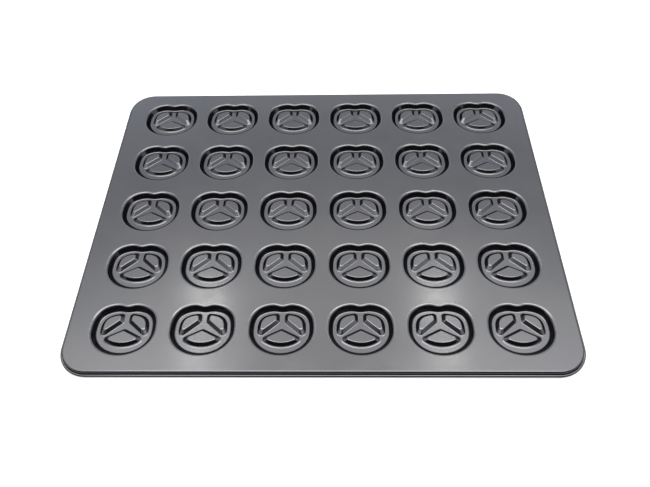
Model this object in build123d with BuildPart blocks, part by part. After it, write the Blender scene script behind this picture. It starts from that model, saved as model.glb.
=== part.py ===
from build123d import *
import os
from math import copysign, cos, exp, pi, radians, sin, tan

# A pretzel baking tray: one pressed steel sheet with a grid of shallow pretzel-shaped cavities.
# The sheet's edge is bent down into a flange, and curled outwards round a steel wire that stiffens it.
# Millimetres, +Z up, +Y to the back. The origin is under the middle of the tray, on its resting plane.

# Whole tray, measured over the bead of the curled edge
overall_length = 500.0
overall_width = 400.0
corner_radius = 30.0
sheet_thickness = 0.6

# Rim: the bend at the top edge, the flange below it and the curl round the wire
edge_bend_radius = 2.0
rim_drop = 6.5
wire_diameter = 1.6
wire_clearance = 0.05
wire_joint_gap = 0.5
curl_angle = 270.0

# Grid of cavities. Each margin lies between the outside of the bead and the nearest mouths.
columns = 6
rows = 5
end_margin = 25.7
side_margin = 21.1

# One cavity: its mouth is an oval, fuller at the back, with a dip between two lobes
cavity_depth = 6.2
mouth_width = 62.6
mouth_height = 55.4
mouth_fullness_back = 2.8
mouth_fullness_front = 2.0
mouth_dip = 2.4
mouth_dip_width = 6.0
wall_draft = 33.0

# Three raised islands leave a groove for the dough: a ring with a forked strand across it
island_rise = 3.4
islands_width = 47.6
islands_height = 37.5
islands_offset = 1.8
island_draft = 45.0
stem_width = 4.8
stem_length = 6.9
fork_height = 3.4
arm_upper_slope = 42.0
arm_lower_slope = 28.0

# Round outlines of the cavities have few straight sides each, because there are many cavities
mouth_sides = 24
islands_sides = 16
corner_sides = 6
section_step = 30.0

# Levels and places that follow from the sizes above
top_level = cavity_depth + sheet_thickness
curl_inner_radius = wire_diameter / 2 + wire_clearance
curl_outer_radius = curl_inner_radius + sheet_thickness
curl_level = top_level - rim_drop + curl_outer_radius
wire_inset = curl_outer_radius
flange_inset = wire_inset + curl_inner_radius
flat_inset = flange_inset + edge_bend_radius
inner_bend_radius = edge_bend_radius - sheet_thickness
pitch_x = (overall_length - 2 * end_margin - mouth_width) / (columns - 1)
pitch_y = (overall_width - 2 * side_margin - mouth_height) / (rows - 1)


def oval(width, height, sides, dip=0.0):
    """Corners of a rounded outline, fuller at the back than at the front, with a dip at the back."""
    corners = []
    for side in range(sides):
        angle = 2 * pi * side / sides
        across, along = cos(angle), sin(angle)
        fullness = mouth_fullness_back if along > 0 else mouth_fullness_front
        x = copysign(abs(across) ** (2 / fullness), across) * width / 2
        y = copysign(abs(along) ** (2 / fullness), along) * height / 2
        if along > 0:
            y -= dip * exp(-((x / mouth_dip_width) ** 2))
        corners.append((x, y))
    return corners


def strand_outline():
    """Corners of the forked strand's groove: a stem from the back that splits into two arms."""
    reach = islands_width
    arm_start = fork_height + stem_length
    arm_run = reach - stem_width / 2
    right = [
        (stem_width / 2, reach),
        (stem_width / 2, arm_start),
        (reach, arm_start - arm_run * tan(radians(arm_upper_slope))),
        (reach, fork_height - reach * tan(radians(arm_lower_slope))),
    ]
    left = [(-x, y) for x, y in reversed(right)]
    return [*right, (0, fork_height), *left]


def pressed_cavity(grown):
    """The space of one cavity, with every face moved out by grown."""
    mouth_shift = grown / cos(radians(wall_draft))
    foot_shift = grown * tan(radians(island_draft)) - grown / cos(radians(island_draft))
    with BuildPart() as space:
        with BuildSketch(Plane.XY.offset(top_level)):
            Polygon(*oval(mouth_width, mouth_height, mouth_sides, mouth_dip), align=None)
            if grown:
                offset(amount=mouth_shift, kind=Kind.INTERSECTION)
        extrude(amount=cavity_depth + grown, taper=wall_draft)
        mirror(about=Plane.XY.offset(top_level), mode=Mode.REPLACE)
        with BuildSketch(Plane.XY.offset(top_level - cavity_depth - grown)):
            with Locations((0, islands_offset)):
                Polygon(*oval(islands_width, islands_height, islands_sides), align=None)
            Polygon(*strand_outline(), align=None, mode=Mode.SUBTRACT)
            if grown:
                offset(amount=foot_shift, kind=Kind.INTERSECTION)
        extrude(amount=island_rise, taper=island_draft, mode=Mode.SUBTRACT)
    return space.part


def right_half(inset):
    """Points of the right half of the tray's outline, that far in from the bead's outside."""
    corner = (overall_length / 2 - corner_radius, overall_width / 2 - corner_radius)
    turn = radians(90 / corner_sides)
    reach = (corner_radius - inset) / cos(turn / 2)
    angles = [turn * (side + 0.5) for side in range(corner_sides)]
    front = [(corner[0] + reach * cos(angle), -corner[1] - reach * sin(angle)) for angle in angles]
    back = [(x, -y) for x, y in reversed(front)]
    half_width = overall_width / 2 - inset
    return [(0, half_width), *back, *front, (0, -half_width)]


def arc_points(centre, radius, start, turn):
    """Points along an arc of the rim's section, section_step apart, from start through turn degrees."""
    steps = round(abs(turn) / section_step)
    angles = [radians(start + turn * step / steps) for step in range(steps + 1)]
    return [(centre[0] + radius * cos(angle), centre[1] + radius * sin(angle)) for angle in angles]


# Rim of the sheet: its section runs from the flat top over the bend and down the flange into the curl
with BuildPart() as rim:
    with BuildLine(Plane.XY.offset(top_level)) as rim_route:
        Polyline(*right_half(flat_inset))
    with BuildSketch(Plane(origin=rim_route.wire() @ 0, x_dir=(0, 1, 0), z_dir=(1, 0, 0))):
        bend_centre = (0, -edge_bend_radius)
        curl_centre = (edge_bend_radius + curl_inner_radius, curl_level - top_level)
        top_side = [
            *arc_points(bend_centre, edge_bend_radius, 90, -90),
            *arc_points(curl_centre, curl_inner_radius, 180, curl_angle),
        ]
        underside = [
            *arc_points(bend_centre, inner_bend_radius, 90, -90),
            *arc_points(curl_centre, curl_outer_radius, 180, curl_angle),
        ]
        Polygon(*top_side, *reversed(underside), align=None)
    sweep(path=rim_route.wire(), transition=Transition.RIGHT)
    mirror(about=Plane.YZ)

with BuildPart() as tray_sheet:
    with BuildSketch(Plane.XY.offset(top_level)):
        Polygon(*right_half(flat_inset), align=None)
        mirror(about=Plane.YZ)
    extrude(amount=-sheet_thickness)
    add(rim.part)
    with GridLocations(pitch_x, pitch_y, columns, rows):
        add(pressed_cavity(sheet_thickness))
    with GridLocations(pitch_x, pitch_y, columns, rows):
        add(pressed_cavity(0), mode=Mode.SUBTRACT)

# The wire inside the curl is one length, bent to the rim's shape, with its ends butted at the back
with BuildPart() as rim_wire:
    with BuildLine(Plane.XY.offset(curl_level)) as wire_route:
        first, *others = right_half(wire_inset)
        Polyline((wire_joint_gap / 2, first[1]), *others)
    with BuildSketch(Plane(origin=wire_route.wire() @ 0, z_dir=(1, 0, 0))):
        RegularPolygon(wire_diameter / 2, round(360 / section_step))
    sweep(path=wire_route.wire(), transition=Transition.RIGHT)
    mirror(about=Plane.YZ)

os.makedirs("parts", exist_ok=True)
for part, name in ((tray_sheet.part, "tray_sheet"), (rim_wire.part, "rim_wire")):
    part.label = name
    export_step(part, f"parts/{name}.step")
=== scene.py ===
from math import atan2, ceil, copysign, cos, exp, hypot, pi, radians, sin, tan

import bpy
import numpy as np
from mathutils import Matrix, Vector
from mathutils.geometry import delaunay_2d_cdt


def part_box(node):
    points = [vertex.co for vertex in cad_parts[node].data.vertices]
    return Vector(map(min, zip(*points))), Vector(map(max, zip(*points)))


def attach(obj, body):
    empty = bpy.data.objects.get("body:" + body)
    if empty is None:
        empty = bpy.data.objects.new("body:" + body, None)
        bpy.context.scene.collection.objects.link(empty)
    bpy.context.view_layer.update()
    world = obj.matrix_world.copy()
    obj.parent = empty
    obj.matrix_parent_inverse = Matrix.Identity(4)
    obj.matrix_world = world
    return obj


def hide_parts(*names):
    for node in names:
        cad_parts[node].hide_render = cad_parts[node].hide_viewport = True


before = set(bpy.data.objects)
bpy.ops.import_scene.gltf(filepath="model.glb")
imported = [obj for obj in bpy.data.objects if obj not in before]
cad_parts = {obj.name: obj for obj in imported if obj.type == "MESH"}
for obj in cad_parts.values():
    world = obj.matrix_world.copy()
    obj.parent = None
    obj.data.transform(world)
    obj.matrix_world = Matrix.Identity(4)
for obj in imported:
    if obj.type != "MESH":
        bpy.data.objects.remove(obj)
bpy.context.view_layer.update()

# A pretzel baking tray on a pale floor, seen from above its front.
# Metres, +Z up, +Y to the back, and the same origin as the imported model: under the middle of the tray.
MM = 0.001

# Sizes of the whole tray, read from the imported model
tray_low, tray_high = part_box("tray_sheet")
TRAY_LENGTH = tray_high.x - tray_low.x
TRAY_WIDTH = tray_high.y - tray_low.y
TOP_LEVEL = tray_high.z

# Sheet and rim, as in the CAD part
SHEET = 0.6 * MM
CORNER_RADIUS = 30 * MM
EDGE_BEND_RADIUS = 2.0 * MM
RIM_DROP = 6.5 * MM
WIRE_RADIUS = 0.8 * MM
WIRE_CLEARANCE = 0.05 * MM
WIRE_JOINT_GAP = 0.5 * MM
CURL_ANGLE = radians(270)

# Grid of cavities, as in the CAD part
COLUMNS, ROWS = 6, 5
END_MARGIN = 25.7 * MM
SIDE_MARGIN = 21.1 * MM

# One cavity, as in the CAD part. Slopes are measured from the level.
CAVITY_DEPTH = 6.2 * MM
MOUTH_WIDTH = 62.6 * MM
MOUTH_HEIGHT = 55.4 * MM
FULLNESS_BACK = 2.8
FULLNESS_FRONT = 2.0
MOUTH_DIP = 2.4 * MM
MOUTH_DIP_WIDTH = 6.0 * MM
WALL_SLOPE = radians(57)

# Its three islands, as in the CAD part
ISLAND_RISE = 3.4 * MM
ISLANDS_WIDTH = 47.6 * MM
ISLANDS_HEIGHT = 37.5 * MM
ISLANDS_OFFSET = 1.8 * MM
ISLAND_SLOPE = radians(45)
STEM_WIDTH = 4.8 * MM
STEM_LENGTH = 6.9 * MM
FORK_HEIGHT = 3.4 * MM
ARM_UPPER_SLOPE = radians(42)
ARM_LOWER_SLOPE = radians(28)

# Rounded bends and corners, and a shallower dip at the floor, which only the visual model has
MOUTH_BEND_RADIUS = 4.0 * MM
FLOOR_BEND_RADIUS = 2.0 * MM
PLATEAU_BEND_RADIUS = 1.5 * MM
FOOT_BEND_RADIUS = 1.3 * MM
FRONT_FOOT_BEND_RADIUS = 3.6 * MM
PLATEAU_CORNER_RADIUS = 1.8 * MM
FOOT_CORNER_RADIUS = 3.8 * MM
FLOOR_DIP = 1.3 * MM

# Tones of the coating. The bends have the pale one, as wear and as a painted highlight.
DARK_FLAT_TONE = (0.172, 0.174, 0.182)
PALE_FLAT_TONE = (0.190, 0.191, 0.197)
# Painted shade: the dark tone that the steep walls get.
WALL_SHADE_TONE = (0.062, 0.063, 0.068)

# The walls' painted shade sets in with the level part of the wall's normal, which is 1 on an upright wall.
# The islands' sides along the strand have a share of it, which rises to the whole between these turns away
# from those sides.
STEEP_START, STEEP_FULL = 0.35, 0.7
STRAND_SIDE_SHARE = 0.4
STRAND_SIDE_ENDS = radians(20), radians(45)

# How finely the outlines and bends are divided
MOUTH_SAMPLES = 2000
MOUTH_POINTS = 72
ISLAND_SAMPLES = 1440
ISLAND_DIRECTIONS = 36
STRAIGHT_SIDE_SPLIT = 0.01
CORNER_STEPS = 14
TOP_BEND_STEP = radians(12)
UNDER_BEND_STEP = radians(30)
CURL_STEP = radians(18)
WIRE_SIDES = 16

# Levels and places that follow
CURL_INNER_RADIUS = WIRE_RADIUS + WIRE_CLEARANCE
CURL_OUTER_RADIUS = CURL_INNER_RADIUS + SHEET
CURL_LEVEL = TOP_LEVEL - RIM_DROP + CURL_OUTER_RADIUS
WIRE_INSET = CURL_OUTER_RADIUS
FLAT_INSET = WIRE_INSET + CURL_INNER_RADIUS + EDGE_BEND_RADIUS
PITCH_X = (TRAY_LENGTH - 2 * END_MARGIN - MOUTH_WIDTH) / (COLUMNS - 1)
PITCH_Y = (TRAY_WIDTH - 2 * SIDE_MARGIN - MOUTH_HEIGHT) / (ROWS - 1)

# Camera, solved from where the 30 cavities lie in the photograph
PHOTO_WIDTH_PX = 650
FOCAL_LENGTH_PX = 647.9
SENSOR_WIDTH = 36.0
CAMERA_PLACE = Vector((18.3, -469.2, 551.8)) * MM
CAMERA_TILT = [radians(a) for a in (37.756, 1.149, 0.637)]

# Floor, just under the tray
FLOOR_HALF_SIZE = 12.0
FLOOR_LEVEL = -0.2 * MM
FLOOR_GLOW = 0.55

# A dark screen all round the tray, which the coating mirrors and the camera sees through
SCREEN_STEPS = 48
SCREEN_DISTANCE = 1.6
SCREEN_HEIGHT = 0.45
SCREEN_BACK_HEIGHT = 0.72
SCREEN_FRONT_HEIGHT = 2.1

# Sky: a colour for each elevation in degrees. High up it is brighter towards the sides, and the limits
# for that are parts of a direction of length 1, upwards and sideways.
SKY_STRENGTH = 1.4
SKY_SIDE_GAIN = 1.6
SKY_SIDE_LIMIT = 0.35
SKY_HIGH_START, SKY_HIGH_FULL = 0.75, 0.85
SKY = [
    (0, (0.60, 0.62, 0.66)),
    (37, (0.76, 0.79, 0.86)),
    (42, (0.42, 0.43, 0.47)),
    (48, (0.55, 0.55, 0.57)),
    (53, (0.78, 0.78, 0.78)),
    (58, (0.84, 0.83, 0.84)),
    (63, (0.74, 0.73, 0.73)),
    (90, (0.60, 0.60, 0.60)),
]

# Softbox overhead
SOFTBOX_PLACE = (0.0, 0.06, 1.5)
SOFTBOX_SIZE = (1.5, 0.67)
SOFTBOX_RADIANCE = 2.8

# Small warm lamps over the back, as (name, x, y, radiance)
LAMP_HEIGHT = 1.66
LAMP_SIZE = (0.10, 0.10)
LAMP_TARGET = (0, -0.15, 0)
LAMP_COLOUR = (1.0, 0.97, 0.9)
LAMPS = [
    ("lamp_right", 0.41, 0.96, 5.6),
    ("lamp_left", -0.52, 0.95, 5.6),
    ("near_lamp_right", 0.417, 0.67, 3.6),
    ("near_lamp_left", -0.528, 0.67, 3.6),
]


def section(start, moves, bend_step):
    """Stations along a section of the sheet's top side, as (outward, level, outward normal, level normal).

    A move is ("run", length) or ("turn", radius, angle), and a positive turn is upwards. The normal points
    to the underside.
    """
    outward, level = start
    heading = 0.0
    stations = [(outward, level, sin(heading), -cos(heading))]
    for kind, size, *angle in moves:
        if kind == "run":
            outward += size * cos(heading)
            level += size * sin(heading)
            stations.append((outward, level, sin(heading), -cos(heading)))
            continue
        side = copysign(1, angle[0])
        centre = (outward - side * size * sin(heading), level + side * size * cos(heading))
        steps = max(2, ceil(abs(angle[0]) / bend_step))
        for step in range(1, steps + 1):
            turned = heading + angle[0] * step / steps
            outward = centre[0] + side * size * sin(turned)
            level = centre[1] - side * size * cos(turned)
            stations.append((outward, level, sin(turned), -cos(turned)))
        heading += angle[0]
    return stations


def mouth_section(bend_step):
    """From the floor of a cavity up its wall to the flat, as outward from the mouth's sharp edge."""
    tangent = tan(WALL_SLOPE / 2)
    wall = CAVITY_DEPTH / sin(WALL_SLOPE) - tangent * (FLOOR_BEND_RADIUS + MOUTH_BEND_RADIUS)
    start = (-CAVITY_DEPTH / tan(WALL_SLOPE) - tangent * FLOOR_BEND_RADIUS, TOP_LEVEL - CAVITY_DEPTH)
    moves = [
        ("turn", FLOOR_BEND_RADIUS, WALL_SLOPE),
        ("run", wall),
        ("turn", MOUTH_BEND_RADIUS, -WALL_SLOPE),
    ]
    return section(start, moves, bend_step)


def island_section(bend_step, foot_radius):
    """From an island's plateau down its wall to the floor, as outward from the wall's sharp foot."""
    tangent = tan(ISLAND_SLOPE / 2)
    run = ISLAND_RISE / tan(ISLAND_SLOPE)
    wall = ISLAND_RISE / sin(ISLAND_SLOPE) - tangent * (PLATEAU_BEND_RADIUS + foot_radius)
    start = (-run - tangent * PLATEAU_BEND_RADIUS, TOP_LEVEL - CAVITY_DEPTH + ISLAND_RISE)
    moves = [
        ("turn", PLATEAU_BEND_RADIUS, -ISLAND_SLOPE),
        ("run", wall),
        ("turn", foot_radius, ISLAND_SLOPE),
    ]
    return section(start, moves, bend_step)


def rim_section(bend_step):
    """From the flat over the edge bend, down the flange and round the curl, as outward from the flat."""
    flange = TOP_LEVEL - EDGE_BEND_RADIUS - CURL_LEVEL
    moves = [
        ("turn", EDGE_BEND_RADIUS, -pi / 2),
        ("run", flange),
        ("turn", CURL_INNER_RADIUS, CURL_ANGLE),
    ]
    return section((0.0, TOP_LEVEL), moves, bend_step)


def oval_point(angle, width, height):
    """A point of a rounded outline that is fuller at the back than at the front, and its outward normal."""
    fullness = FULLNESS_BACK if sin(angle) > 0 else FULLNESS_FRONT
    half = np.array((width, height)) / 2
    turn = np.array((cos(angle), sin(angle)))
    place = np.copysign(np.abs(turn) ** (2 / fullness), turn) * half
    slope = np.copysign(np.abs(place / half) ** (fullness - 1), place) / half
    return place, slope


def mouth_outline(depth_of_dip):
    """Points and outward normals round a cavity's mouth, closer together at the dip between its lobes."""
    places, normals = [], []
    for angle in np.linspace(0, 2 * pi, MOUTH_SAMPLES + 1):
        place, slope = oval_point(angle, MOUTH_WIDTH, MOUTH_HEIGHT)
        if sin(angle) > 0:
            dip = depth_of_dip * exp(-((place[0] / MOUTH_DIP_WIDTH) ** 2))
            place[1] -= dip
            slope[0] -= slope[1] * dip * 2 * place[0] / MOUTH_DIP_WIDTH**2
        places.append(place)
        normals.append(slope / hypot(*slope))
    places, normals = np.array(places), np.array(normals)
    steps = np.hypot(*np.diff(places, axis=0).T)
    near_dip = np.exp(-((places[1:, 0] / (2 * MOUTH_DIP_WIDTH)) ** 2)) * (places[1:, 1] > 0)
    walked = np.concatenate([[0], np.cumsum(steps * (1 + near_dip))])
    wanted = np.arange(MOUTH_POINTS) / MOUTH_POINTS * walked[-1]
    pick = [np.interp(wanted, walked, column) for column in (*places.T, *normals.T)]
    normals = np.column_stack(pick[2:])
    return np.column_stack(pick[:2]), normals / np.hypot(*normals.T)[:, None]


def wall_outlines(stations):
    """The mouth's outline for each station of its wall. The dip fades towards the floor."""
    floor_places, floor_normals = mouth_outline(FLOOR_DIP)
    top_places, top_normals = mouth_outline(MOUTH_DIP)
    outlines = []
    for _, level, *_ in stations:
        share = (level - TOP_LEVEL) / CAVITY_DEPTH + 1
        normals = floor_normals + share * (top_normals - floor_normals)
        places = floor_places + share * (top_places - floor_places)
        # The mouth's wall takes the full painted shade.
        outlines.append((places, normals / np.hypot(*normals.T)[:, None], 1.0))
    return outlines


def clipped(corners, normal, reach):
    """The part of a convex outline that lies within reach in the direction of normal."""
    kept = []
    normal = np.array(normal) / hypot(*normal)
    for here, there in zip(corners, [*corners[1:], corners[0]]):
        before, after = here @ normal - reach, there @ normal - reach
        if before <= 0:
            kept.append(here)
        if before * after < 0:
            kept.append(here + (there - here) * before / (before - after))
    return kept


def shrunk_oval(inset):
    """Corners of the islands' common oval, drawn in by inset, at even steps of turn."""
    half = np.array((ISLANDS_WIDTH, ISLANDS_HEIGHT)) / 2
    corners = []
    for step in range(ISLAND_SAMPLES):
        angle = radians(360 * step / ISLAND_SAMPLES)
        facing = np.array((cos(angle), sin(angle)))
        fullness = FULLNESS_BACK if facing[1] > 0 else FULLNESS_FRONT
        weight = np.abs(facing * half)
        share = (weight ** (fullness / (fullness - 1))).sum() ** (1 / fullness)
        place = np.copysign(half * weight ** (1 / (fullness - 1)) / share, facing)
        corners.append(place - inset * facing + (0, ISLANDS_OFFSET))
    return corners


def turn_to_nearest(angle, others):
    """The smallest turn between an angle and any of the others."""
    return min(abs((angle - other + pi) % (2 * pi) - pi) for other in others)


def island_rings(lines, stations):
    """An outline and a station of its own for each station of the islands' section.

    Each line is (normal, reach) and cuts the islands' oval. The corners are rounder at the foot than at the
    plateau, so the section is stretched outwards there. A straight side has a point at each of its ends,
    turned a little apart so that the two don't fall together.
    """
    straight = [atan2(normal[1], normal[0]) for normal, _ in lines]
    step = 2 * pi / ISLAND_DIRECTIONS
    angles = [(number + 0.5) * step for number in range(ISLAND_DIRECTIONS)]
    angles = [a for a in angles if turn_to_nearest(a, straight) > step / 3]
    ends = [s + side * STRAIGHT_SIDE_SPLIT for s in straight for side in (-1, 1)]
    angles = sorted(angles + [end % (2 * pi) for end in ends])
    facing = np.array([(cos(angle), sin(angle)) for angle in angles])
    from_strand = [turn_to_nearest(angle, straight) for angle in angles]
    # How much painted shade the island walls take: a share along the strand, all of it away from it.
    shade_share = np.interp(from_strand, STRAND_SIDE_ENDS, (STRAND_SIDE_SHARE, 1.0))
    first, last = stations[0][0], stations[-1][0]
    places, reaches = [], []
    for outward, *_ in stations:
        share = (outward - first) / (last - first)
        radius = PLATEAU_CORNER_RADIUS + share * (FOOT_CORNER_RADIUS - PLATEAU_CORNER_RADIUS)
        core = shrunk_oval(radius - outward)
        for normal, reach in lines:
            core = clipped(core, normal, reach + outward - radius)
        core = np.array(core)
        places.append(core[np.argmax(facing @ core.T, axis=1)] + radius * facing)
        reaches.append((places[-1] * facing).sum(axis=1))
    rings = []
    for number, (_, level, across, down) in enumerate(stations):
        before, after = max(number - 1, 0), min(number + 1, len(stations) - 1)
        stretch = (reaches[after] - reaches[before]) / (stations[after][0] - stations[before][0])
        size = np.hypot(across, stretch * down)
        station = (0.0, level, across / size, stretch * down / size)
        rings.append(((places[number], facing, shade_share), station))
    return rings


def blended(rings, others):
    """Rings that follow the first list, and change over to the other list along the front."""
    result = []
    for ((places, facing, shade_share), station), ((other_places, _, _), other_station) in zip(rings, others):
        share = np.clip((-facing[:, 1] - 0.4) / 0.4, 0, 1)
        places = places + share[:, None] * (other_places - places)
        mixed = tuple(a + share * (b - a) for a, b in zip(station, other_station))
        result.append(((places, facing, shade_share), mixed))
    return result


def island_lines():
    """Lines that cut the oval into three islands: two beside the strand's stem, one in front of its arms."""
    fork_right = (STEM_WIDTH / 2, FORK_HEIGHT + STEM_LENGTH)
    upper = (-sin(ARM_UPPER_SLOPE), -cos(ARM_UPPER_SLOPE))
    right = [((-1, 0), -STEM_WIDTH / 2), (upper, float(np.dot(upper, fork_right)))]
    left = [((-x, y), reach) for (x, y), reach in right]
    lower = (sin(ARM_LOWER_SLOPE), cos(ARM_LOWER_SLOPE))
    front = [((x, lower[1]), FORK_HEIGHT * lower[1]) for x in (lower[0], -lower[0])]
    return right, left, front


def rounded_rectangle(inset):
    """Points and outward normals round the tray's outline, that far in from the bead's outside."""
    radius = CORNER_RADIUS - inset
    centre = (TRAY_LENGTH / 2 - CORNER_RADIUS, TRAY_WIDTH / 2 - CORNER_RADIUS)
    places, normals = [], []
    for quarter in range(4):
        for step in range(CORNER_STEPS + 1):
            angle = (quarter + step / CORNER_STEPS) * pi / 2
            side = (1 if quarter in (0, 3) else -1, 1 if quarter < 2 else -1)
            normal = (cos(angle), sin(angle))
            places.append([side[k] * centre[k] + radius * normal[k] for k in (0, 1)])
            normals.append(normal)
    return np.array(places), np.array(normals)


def inside(spots, loop):
    """Which of the spots lie inside a closed loop."""
    x, y = spots.T[:, :, None]
    (here_x, here_y), (there_x, there_y) = loop.T, np.roll(loop, -1, axis=0).T
    crossed = (here_y > y) != (there_y > y)
    rise = np.where(there_y == here_y, 1.0, there_y - here_y)
    at = here_x + (y - here_y) * (there_x - here_x) / rise
    return (crossed & (x < at)).sum(axis=1) % 2 == 1


class Skin:
    """Points, normals and faces of one side of the sheet, shifted from its top side.

    Each point has a share of paler bend, which is wear and a painted highlight, and of painted shade on
    steep walls, which the coating reads. Each outline is (places, outward normals, share of the painted wall
    shade).
    """

    def __init__(self, shift):
        self.shift = shift
        self.points, self.normals, self.faces = [], [], []
        self.wear, self.wall_shades = [], []

    def ring(self, outline, station, centre, wear=0.0):
        """Adds the outline at a station of the section, and returns its points' numbers."""
        places, facing, shade_share = outline
        start = len(self.points)
        outward, level, across, down = (np.broadcast_to(part, len(places))[:, None] for part in station)
        side = 1 if self.shift else -1
        spots = centre + places + (outward + self.shift * across) * facing
        self.points.extend(map(tuple, np.hstack([spots, level + self.shift * down]).tolist()))
        self.normals.extend(map(tuple, (side * np.hstack([across * facing, down])).tolist()))
        # Paler bends: wear together with a painted highlight along them.
        self.wear.extend([wear] * len(places))
        # Painted shade on steep walls, rising with the level part of the normal.
        painted_wall_shade = (np.abs(across[:, 0]) - STEEP_START) / (STEEP_FULL - STEEP_START)
        self.wall_shades.extend((shade_share * np.clip(painted_wall_shade, 0, 1)).tolist())
        return list(range(start, len(self.points)))

    def band(self, inner, outer):
        """Faces between two rings."""
        count = len(inner)
        for i in range(count):
            j = (i + 1) % count
            self.faces.append((inner[i], outer[i], outer[j], inner[j]))

    def walk(self, outlines, stations, centre, pale_bends=()):
        """Rings along a section with bands between them. Returns the first and the last ring."""
        rings = [
            self.ring(outline, station, centre, float(number in pale_bends))
            for number, (outline, station) in enumerate(zip(outlines, stations))
        ]
        for inner, outer in zip(rings, rings[1:]):
            self.band(inner, outer)
        return rings[0], rings[-1]

    def fill(self, *loops):
        """Flat faces inside the first loop and outside the others."""
        numbers = [n for loop in loops for n in loop]
        spots = np.array([self.points[n][:2] for n in numbers]) / MM
        edges = []
        for loop in loops:
            start = len(edges)
            edges += [(start + i, start + (i + 1) % len(loop)) for i in range(len(loop))]
        _, _, triangles, sources, _, _ = delaunay_2d_cdt([Vector(s) for s in spots], edges, [], 1, 1e-6)
        triangles = np.array([[sources[corner][0] for corner in triangle] for triangle in triangles])
        middles = spots[triangles].mean(axis=1)
        kept = inside(middles, spots[:len(loops[0])])
        start = len(loops[0])
        for hole in loops[1:]:
            kept &= ~inside(middles, spots[start:start + len(hole)])
            start += len(hole)
        for triangle in triangles[kept]:
            self.flat_face(*(numbers[corner] for corner in triangle))

    def fan(self, pivot, edge):
        """Flat faces from one point to each step along an edge."""
        for here, there in zip(edge, edge[1:]):
            self.flat_face(pivot, here, there)

    def flat_face(self, a, b, c):
        """A flat triangle that faces up, whichever way round its points come."""
        (ax, ay, _), (bx, by, _), (cx, cy, _) = (self.points[n] for n in (a, b, c))
        ahead = (bx - ax) * (cy - ay) - (by - ay) * (cx - ax)
        self.faces.append((a, b, c) if ahead > 0 else (a, c, b))

    def flat_point(self, x, y):
        """One point of the tray's flat."""
        self.points.append((x, y, TOP_LEVEL - self.shift))
        self.normals.append((0, 0, -1 if self.shift else 1))
        self.wear.append(0.0)
        self.wall_shades.append(0.0)
        return len(self.points) - 1


def press_side(shift, bend_step):
    """One side of the whole sheet. Returns it and its last ring, which lies along the curl's cut edge."""
    skin = Skin(shift)
    wall = mouth_section(bend_step)
    step_down = island_section(bend_step, FOOT_BEND_RADIUS)
    front_step_down = island_section(bend_step, FRONT_FOOT_BEND_RADIUS)
    mouth = wall_outlines(wall)
    right, left, front = island_lines()
    islands = [island_rings(lines, step_down) for lines in (right, left, front)]
    islands[-1] = blended(islands[-1], island_rings(front, front_step_down))
    mouth_bend = range(len(wall) - ceil(WALL_SLOPE / bend_step), len(wall) - 1)
    plateau_bend = range(1, ceil(ISLAND_SLOPE / bend_step))
    corners = [
        [
            skin.flat_point((column - COLUMNS / 2) * PITCH_X, (row - ROWS / 2) * PITCH_Y)
            for column in range(COLUMNS + 1)
        ]
        for row in range(ROWS + 1)
    ]
    for row in range(ROWS):
        for column in range(COLUMNS):
            centre = np.array(
                ((column - (COLUMNS - 1) / 2) * PITCH_X, (row - (ROWS - 1) / 2) * PITCH_Y)
            )
            floor_ring, mouth_ring = skin.walk(mouth, wall, centre, mouth_bend)
            feet = []
            for rings in islands:
                outlines, stations = zip(*rings)
                plateau, foot = skin.walk(outlines, stations, centre, plateau_bend)
                skin.fill(plateau)
                feet.append(foot)
            skin.fill(floor_ring, *feet)
            tile = [corners[row + r][column + c] for r, c in ((0, 0), (0, 1), (1, 1), (1, 0))]
            skin.fill(tile, mouth_ring)
    rim = rim_section(CURL_STEP if shift else bend_step)
    # The rim's flange takes the full painted shade.
    outline = [(*rounded_rectangle(FLAT_INSET), 1.0)] * len(rim)
    edge_bend = range(1, ceil(pi / 2 / (CURL_STEP if shift else bend_step)))
    flat_ring, cut_ring = skin.walk(outline, rim, np.zeros(2), edge_bend)
    grid_sides = (
        corners[-1][::-1],
        [line[0] for line in corners[::-1]],
        corners[0],
        [line[-1] for line in corners],
    )
    for quarter, side in enumerate(grid_sides):
        start = quarter * (CORNER_STEPS + 1)
        bend = flat_ring[start:start + CORNER_STEPS + 1]
        skin.fan(side[0], bend)
        skin.fan(bend[-1], [*side, flat_ring[(start + CORNER_STEPS + 1) % len(flat_ring)]])
    return skin, cut_ring


def mesh_object(name, points, faces, normals=None, flat_faces=()):
    """A smooth-shaded mesh object. Flat faces keep their own normal at their corners."""
    mesh = bpy.data.meshes.new(name)
    mesh.from_pydata([tuple(p) for p in points], [], faces)
    mesh.polygons.foreach_set("use_smooth", [True] * len(mesh.polygons))
    if normals is not None:
        corner_normals = [normals[loop.vertex_index] for loop in mesh.loops]
        for number in flat_faces:
            face = mesh.polygons[number]
            for loop in face.loop_indices:
                corner_normals[loop] = tuple(face.normal)
        mesh.normals_split_custom_set(corner_normals)
    thing = bpy.data.objects.new(name, mesh)
    bpy.context.scene.collection.objects.link(thing)
    return thing


def make_tray_sheet():
    """The pressed sheet as one closed mesh: its top side, its underside and the curl's cut edge."""
    top, top_cut = press_side(0.0, TOP_BEND_STEP)
    under, under_cut = press_side(SHEET, UNDER_BEND_STEP)
    offset = len(top.points)
    faces = top.faces + [tuple(offset + n for n in reversed(face)) for face in under.faces]
    count = len(top_cut)
    first_cut_face = len(faces)
    for i in range(count):
        j = (i + 1) % count
        faces.append((top_cut[i], offset + under_cut[i], offset + under_cut[j], top_cut[j]))
    cut_faces = range(first_cut_face, len(faces))
    sheet = mesh_object(
        "pressed_sheet", top.points + under.points, faces, top.normals + under.normals, cut_faces
    )
    wear = sheet.data.attributes.new("edge_wear", "FLOAT", "POINT")
    wear.data.foreach_set("value", top.wear + under.wear)
    wall_shades = sheet.data.attributes.new("painted_wall_shade", "FLOAT", "POINT")
    wall_shades.data.foreach_set("value", top.wall_shades + under.wall_shades)
    return sheet


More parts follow.
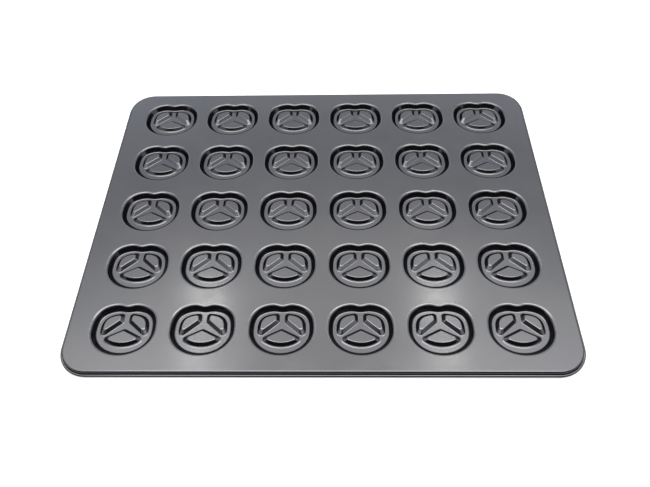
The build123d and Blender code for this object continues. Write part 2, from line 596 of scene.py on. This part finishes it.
def make_rim_wire():
    """The wire in the curl: one bent length whose ends are butted at the back."""
    places, normals = rounded_rectangle(WIRE_INSET)
    half = TRAY_WIDTH / 2 - WIRE_INSET
    split = CORNER_STEPS + 1
    route = [(-WIRE_JOINT_GAP / 2, half), *places[split:], *places[:split], (WIRE_JOINT_GAP / 2, half)]
    facing = [(0, 1), *normals[split:], *normals[:split], (0, 1)]
    points = []
    for place, normal in zip(route, facing):
        for side in range(WIRE_SIDES):
            angle = 2 * pi * side / WIRE_SIDES
            reach = WIRE_RADIUS * cos(angle)
            points.append(
                (
                    place[0] + reach * normal[0],
                    place[1] + reach * normal[1],
                    CURL_LEVEL + WIRE_RADIUS * sin(angle),
                )
            )
    faces = []
    for ring in range(len(route) - 1):
        for side in range(WIRE_SIDES):
            a, b = ring * WIRE_SIDES + side, ring * WIRE_SIDES + (side + 1) % WIRE_SIDES
            faces.append((a, b, b + WIRE_SIDES, a + WIRE_SIDES))
    first_cap = tuple(range(WIRE_SIDES))
    last_cap = tuple(len(points) - WIRE_SIDES + side for side in range(WIRE_SIDES))
    faces += [tuple(reversed(first_cap)), last_cap]
    return mesh_object("wire_in_curl", points, faces)


def socket_values(node, values):
    """Sets a node's inputs, by their names."""
    for name, value in values.items():
        node.inputs[name].default_value = value


def noise(nodes, links, place, scale, detail=2.0):
    """A noise texture in the piece's own coordinates, scale in waves per metre."""
    texture = nodes.new("ShaderNodeTexNoise")
    texture.inputs["Scale"].default_value = scale
    texture.inputs["Detail"].default_value = detail
    links.new(place, texture.inputs["Vector"])
    return texture.outputs["Fac"]


def spread(nodes, links, value, low, high):
    """Spreads a noise's usual range, 0.3 to 0.7, over low to high."""
    node = nodes.new("ShaderNodeMapRange")
    socket_values(node, {"From Min": 0.3, "From Max": 0.7, "To Min": low, "To Max": high})
    links.new(value, node.inputs["Value"])
    return node.outputs["Result"]


def calculated(nodes, links, operation, *values):
    """The output of a Math node, fed with sockets or numbers."""
    node = nodes.new("ShaderNodeMath")
    node.operation = operation
    for socket, value in zip(node.inputs, values):
        if isinstance(value, float):
            socket.default_value = value
        else:
            links.new(value, socket)
    return node.outputs["Value"]


def total(nodes, links, *values):
    """The sum of the values."""
    result = values[0]
    for value in values[1:]:
        result = calculated(nodes, links, "ADD", result, value)
    return result


def coating():
    """Dark grey non-stick coating: a fine flake, soft mottling, paler bends that are wear and a painted
    highlight, and painted shade on steep walls.
    """
    material = bpy.data.materials.new("non_stick_coating")
    material.use_nodes = True
    nodes, links = material.node_tree.nodes, material.node_tree.links
    shader = nodes["Principled BSDF"]
    socket_values(shader, {"Metallic": 0.97, "IOR": 1.45})
    place = nodes.new("ShaderNodeTexCoord").outputs["Object"]

    tone = nodes.new("ShaderNodeMix")
    tone.data_type = "RGBA"
    tone.inputs["A"].default_value = (*DARK_FLAT_TONE, 1)
    tone.inputs["B"].default_value = (*PALE_FLAT_TONE, 1)
    mottle = spread(nodes, links, noise(nodes, links, place, 14, 4.0), 0.0, 0.8)
    flake = spread(nodes, links, noise(nodes, links, place, 2600, 1.0), -0.1, 0.1)
    # Paler bends: wear together with a painted highlight along them.
    pale_bends = nodes.new("ShaderNodeAttribute")
    pale_bends.attribute_name = "edge_wear"
    links.new(total(nodes, links, mottle, flake, pale_bends.outputs["Fac"]), tone.inputs["Factor"])
    # Painted shade: the steep walls get the dark wall tone.
    wall_shades = nodes.new("ShaderNodeAttribute")
    wall_shades.attribute_name = "painted_wall_shade"
    shade_share = nodes.new("ShaderNodeMix")
    shade_share.data_type = "RGBA"
    shade_share.inputs["B"].default_value = (*WALL_SHADE_TONE, 1)
    links.new(wall_shades.outputs["Fac"], shade_share.inputs["Factor"])
    links.new(tone.outputs["Result"], shade_share.inputs["A"])
    links.new(shade_share.outputs["Result"], shader.inputs["Base Color"])
    shader.inputs["Specular Tint"].default_value = (0.5, 0.5, 0.5, 1)

    gloss = spread(nodes, links, noise(nodes, links, place, 45, 3.0), 0.145, 0.185)
    grain = spread(nodes, links, noise(nodes, links, place, 1400, 2.0), -0.02, 0.02)
    links.new(total(nodes, links, gloss, grain), shader.inputs["Roughness"])

    skin = nodes.new("ShaderNodeBump")
    socket_values(skin, {"Strength": 0.12, "Distance": 0.02 * MM})
    links.new(noise(nodes, links, place, 900, 2.0), skin.inputs["Height"])
    waves = nodes.new("ShaderNodeBump")
    socket_values(waves, {"Strength": 1.0, "Distance": 0.12 * MM})
    links.new(noise(nodes, links, place, 16, 1.0), waves.inputs["Height"])
    links.new(skin.outputs["Normal"], waves.inputs["Normal"])
    links.new(waves.outputs["Normal"], shader.inputs["Normal"])
    return material


def drawn_steel():
    """Plain drawn steel wire, with a little tarnish and an uneven gloss."""
    material = bpy.data.materials.new("wire_steel")
    material.use_nodes = True
    nodes, links = material.node_tree.nodes, material.node_tree.links
    shader = nodes["Principled BSDF"]
    socket_values(shader, {"Metallic": 1.0})
    place = nodes.new("ShaderNodeTexCoord").outputs["Object"]
    tone = nodes.new("ShaderNodeMix")
    tone.data_type = "RGBA"
    tone.inputs["A"].default_value = (0.42, 0.41, 0.40, 1)
    tone.inputs["B"].default_value = (0.58, 0.58, 0.57, 1)
    links.new(noise(nodes, links, place, 120, 3.0), tone.inputs["Factor"])
    links.new(tone.outputs["Result"], shader.inputs["Base Color"])
    gloss = spread(nodes, links, noise(nodes, links, place, 1800, 2.0), 0.25, 0.45)
    links.new(gloss, shader.inputs["Roughness"])
    return material


def seen_directly(nodes, links):
    """1 for camera, glossy and transmission rays, and 0 for the rays that gather soft light."""
    paths = nodes.new("ShaderNodeLightPath")
    kinds = ("Is Camera Ray", "Is Glossy Ray", "Is Transmission Ray")
    return total(nodes, links, *[paths.outputs[kind] for kind in kinds])


def make_floor():
    """A pale floor that shows white, and keeps the tray's soft shadow."""
    size = FLOOR_HALF_SIZE
    corners = [(-size, -size), (size, -size), (size, size), (-size, size)]
    mesh = bpy.data.meshes.new("floor")
    mesh.from_pydata([(x, y, FLOOR_LEVEL) for x, y in corners], [], [(0, 1, 2, 3)])
    floor = bpy.data.objects.new("floor", mesh)
    bpy.context.scene.collection.objects.link(floor)
    material = bpy.data.materials.new("floor")
    material.use_nodes = True
    nodes, links = material.node_tree.nodes, material.node_tree.links
    shader = nodes["Principled BSDF"]
    socket_values(shader, {"Base Color": (0.82, 0.82, 0.82, 1), "Roughness": 0.9, "Specular IOR Level": 0.1})
    glow = calculated(nodes, links, "MULTIPLY", seen_directly(nodes, links), FLOOR_GLOW)
    shader.inputs["Emission Color"].default_value = (1, 1, 1, 1)
    links.new(glow, shader.inputs["Emission Strength"])
    mesh.materials.append(material)


def make_dark_screen():
    """A dark screen all round the set, tallest at the front and lowest at the sides."""
    points, faces = [], []
    for step in range(SCREEN_STEPS):
        angle = 2 * pi * step / SCREEN_STEPS
        front = min(1.0, max(0.0, (-sin(angle) - 0.5) / 0.3))
        back = min(1.0, max(0.0, (sin(angle) - 0.3) / 0.3))
        height = SCREEN_HEIGHT
        height += (SCREEN_FRONT_HEIGHT - SCREEN_HEIGHT) * front + (SCREEN_BACK_HEIGHT - SCREEN_HEIGHT) * back
        x, y = SCREEN_DISTANCE * cos(angle), SCREEN_DISTANCE * sin(angle)
        points += [(x, y, 0.0), (x, y, height)]
    for step in range(SCREEN_STEPS):
        a, b = 2 * step, 2 * ((step + 1) % SCREEN_STEPS)
        faces.append((a, a + 1, b + 1, b))
    mesh = bpy.data.meshes.new("dark_screen")
    mesh.from_pydata(points, [], faces)
    screen = bpy.data.objects.new("dark_screen", mesh)
    bpy.context.scene.collection.objects.link(screen)
    material = bpy.data.materials.new("dark_screen")
    material.use_nodes = True
    socket_values(
        material.node_tree.nodes["Principled BSDF"],
        {"Base Color": (0.06, 0.06, 0.065, 1), "Roughness": 1.0, "Specular IOR Level": 0.0},
    )
    mesh.materials.append(material)
    screen.visible_camera = False


def add_lamp(name, place, target, size, radiance, colour=(1, 1, 1)):
    """A rectangular soft lamp that faces its target, as bright as radiance when looked at."""
    data = bpy.data.lights.new(name, "AREA")
    data.shape = "RECTANGLE"
    data.size, data.size_y = size
    data.energy = radiance * pi * size[0] * size[1]
    data.color = colour
    lamp = bpy.data.objects.new(name, data)
    bpy.context.scene.collection.objects.link(lamp)
    lamp.location = place
    lamp.rotation_euler = (Vector(target) - Vector(place)).to_track_quat("-Z", "Y").to_euler()


def make_world():
    """Soft light from all round, with a colour for each elevation and brighter high up at the sides."""
    world = bpy.data.worlds.new("studio")
    bpy.context.scene.world = world
    world.use_nodes = True
    nodes, links = world.node_tree.nodes, world.node_tree.links
    place = nodes.new("ShaderNodeTexCoord").outputs["Generated"]
    split = nodes.new("ShaderNodeSeparateXYZ")
    links.new(place, split.inputs["Vector"])
    ramp = nodes.new("ShaderNodeValToRGB")
    links.new(split.outputs["Z"], ramp.inputs["Fac"])
    while len(ramp.color_ramp.elements) < len(SKY):
        ramp.color_ramp.elements.new(0.5)
    for element, (elevation, colour) in zip(ramp.color_ramp.elements, SKY):
        element.position = sin(radians(elevation))
        element.color = (*colour, 1)
    links.new(ramp.outputs["Color"], nodes["Background"].inputs["Color"])
    high = nodes.new("ShaderNodeMapRange")
    socket_values(high, {"From Min": SKY_HIGH_START, "From Max": SKY_HIGH_FULL})
    socket_values(high, {"To Min": 0.0, "To Max": SKY_SIDE_GAIN})
    links.new(split.outputs["Z"], high.inputs["Value"])
    aside = calculated(nodes, links, "ABSOLUTE", split.outputs["X"])
    aside = calculated(nodes, links, "MINIMUM", aside, SKY_SIDE_LIMIT)
    gain = calculated(nodes, links, "MULTIPLY", aside, high.outputs["Result"])
    gain = calculated(nodes, links, "ADD", gain, 1.0)
    gain = calculated(nodes, links, "MULTIPLY", gain, SKY_STRENGTH)
    links.new(gain, nodes["Background"].inputs["Strength"])


# The tray
sheet = make_tray_sheet()
sheet.data.materials.append(coating())
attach(sheet, "root")
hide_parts("tray_sheet")

wire = make_rim_wire()
wire.data.materials.append(drawn_steel())
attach(wire, "root")
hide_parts("rim_wire")

# The studio
make_world()
make_floor()
make_dark_screen()
add_lamp("softbox", SOFTBOX_PLACE, (0, 0, 0), SOFTBOX_SIZE, SOFTBOX_RADIANCE)
for name, x, y, radiance in LAMPS:
    add_lamp(name, (x, y, LAMP_HEIGHT), LAMP_TARGET, LAMP_SIZE, radiance, LAMP_COLOUR)

camera_data = bpy.data.cameras.new("camera")
camera_data.sensor_width = SENSOR_WIDTH
camera_data.lens = FOCAL_LENGTH_PX * SENSOR_WIDTH / PHOTO_WIDTH_PX
camera = bpy.data.objects.new("camera", camera_data)
bpy.context.scene.collection.objects.link(camera)
camera.location = CAMERA_PLACE
camera.rotation_euler = CAMERA_TILT
bpy.context.scene.camera = camera
bpy.context.scene.view_settings.view_transform = "Standard"
